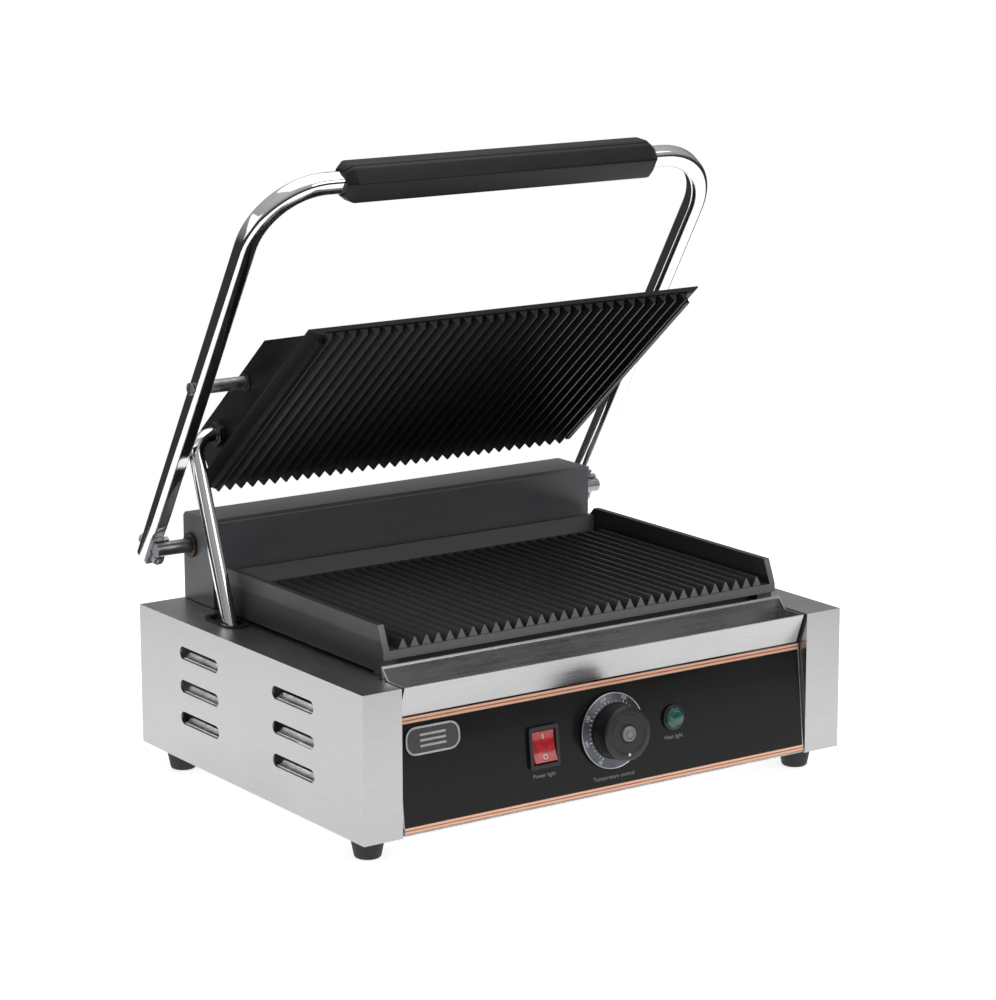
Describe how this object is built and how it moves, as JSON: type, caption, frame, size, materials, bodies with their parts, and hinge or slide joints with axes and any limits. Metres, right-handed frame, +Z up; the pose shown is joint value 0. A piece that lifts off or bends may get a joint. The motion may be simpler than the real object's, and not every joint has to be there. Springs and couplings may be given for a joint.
{
  "type": "panini press",
  "caption": "Countertop contact grill: ribbed lower plate in a steel housing with controls and drip tray, ribbed upper plate hung in a U-shaped lever handle, shown open.",
  "frame": {"origin": "centre of the footprint of the whole press, on the surface the feet stand on", "axes": "+Z up, -Y toward the user and the controls, +X to the right of someone facing the controls"},
  "size_m": [0.43, 0.354, 0.4775],
  "materials": {
    "stainless": "brushed",
    "galvanised": "zinc plated",
    "chrome": "polished",
    "cast_iron": "seasoned, matt black",
    "dark_paint": "satin dark grey",
    "panel_black": "gloss",
    "black_plastic": "satin",
    "rubber": "matt",
    "copper": "copper coloured print",
    "red_lens": "gloss",
    "green_lens": "gloss",
    "silver_print": "satin",
    "grey_plastic": "satin",
    "white_paint": "matt",
    "spring_steel": "oiled",
    "bronze": "sintered",
    "ceramic": "glazed",
    "mineral": "fibre mat"
  },
  "bodies": {
    "base": {"housing_shell": "stainless", "rear_panel": "stainless", "base_plate": "galvanised", "foot_front_left": "rubber", "foot_front_right": "rubber", "foot_rear_left": "rubber", "foot_rear_right": "rubber", "foot_screw_front_left": "galvanised", "foot_screw_front_right": "galvanised", "foot_screw_rear_left": "galvanised", "foot_screw_rear_right": "galvanised", "control_panel": "stainless", "panel_film": "panel_black", "stripe_top": "copper", "stripe_bottom": "copper", "badge_plate": "silver_print", "switch_body": "black_plastic", "lamp_body": "black_plastic", "lamp_lens": "green_lens", "thermostat_body": "galvanised", "lower_plate": "cast_iron", "lower_heater": "spring_steel", "lower_insulation": "mineral", "lower_shield": "galvanised", "thermostat_bulb": "bronze", "terminal_block": "ceramic", "cable_gland": "black_plastic", "gland_nut": "black_plastic", "hinge_box": "dark_paint", "hinge_bush_left": "bronze", "hinge_bush_right": "bronze", "torsion_spring_left": "spring_steel", "torsion_spring_right": "spring_steel", "deck_grommet": "black_plastic"},
    "handle": {"hinge_shaft": "spring_steel", "spring_collar_left": "spring_steel", "spring_collar_right": "spring_steel", "handle_tube": "chrome", "grip": "black_plastic", "arm_bolt_left": "galvanised", "arm_bolt_right": "galvanised", "arm_nut_left": "galvanised", "arm_nut_right": "galvanised", "pivot_pin_left": "chrome", "pivot_pin_right": "chrome"},
    "upper": {"upper_plate": "cast_iron", "upper_cover": "dark_paint", "pivot_bush_left": "bronze", "pivot_bush_right": "bronze", "upper_heater": "spring_steel", "upper_insulation": "mineral", "conduit_tube": "chrome", "conduit_nut": "galvanised"},
    "knob": {"thermostat_shaft": "galvanised", "dial_skirt": "silver_print", "knob_grip": "black_plastic", "knob_cap": "grey_plastic", "knob_dot": "white_paint"},
    "rocker": {"switch_rocker": "red_lens"},
    "tray": {"drip_tray": "stainless"}
  },
  "joints": [
    {"name": "arm_lift", "type": "hinge", "parent": "base", "child": "handle", "pos_m": [0, 0.14589, 0.171], "axis": [1, 0, 0], "range_deg": [0, 54.9]},
    {"name": "plate_tilt", "type": "hinge", "parent": "handle", "child": "upper", "pos_m": [0, 0.08143, 0.30566], "axis": [1, 0, 0], "range_deg": [-16.5, 0]},
    {"name": "knob_turn", "type": "hinge", "parent": "base", "child": "knob", "pos_m": [0.002, -0.15306, 0.06523], "axis": [0, 0.9943, -0.1063], "range_deg": [0, 300]},
    {"name": "rocker_tilt", "type": "hinge", "parent": "base", "child": "rocker", "pos_m": [-0.0595, -0.15327, 0.06324], "axis": [1, 0, 0], "range_deg": [0, 16]},
    {"name": "tray_slide", "type": "slide", "parent": "base", "child": "tray", "axis": [0, -1, 0], "range_m": [0, 0.05]}
  ],
  "couplings": [
    {"joint": "plate_tilt", "follows": "arm_lift", "ratio": -0.26776}
  ]
}
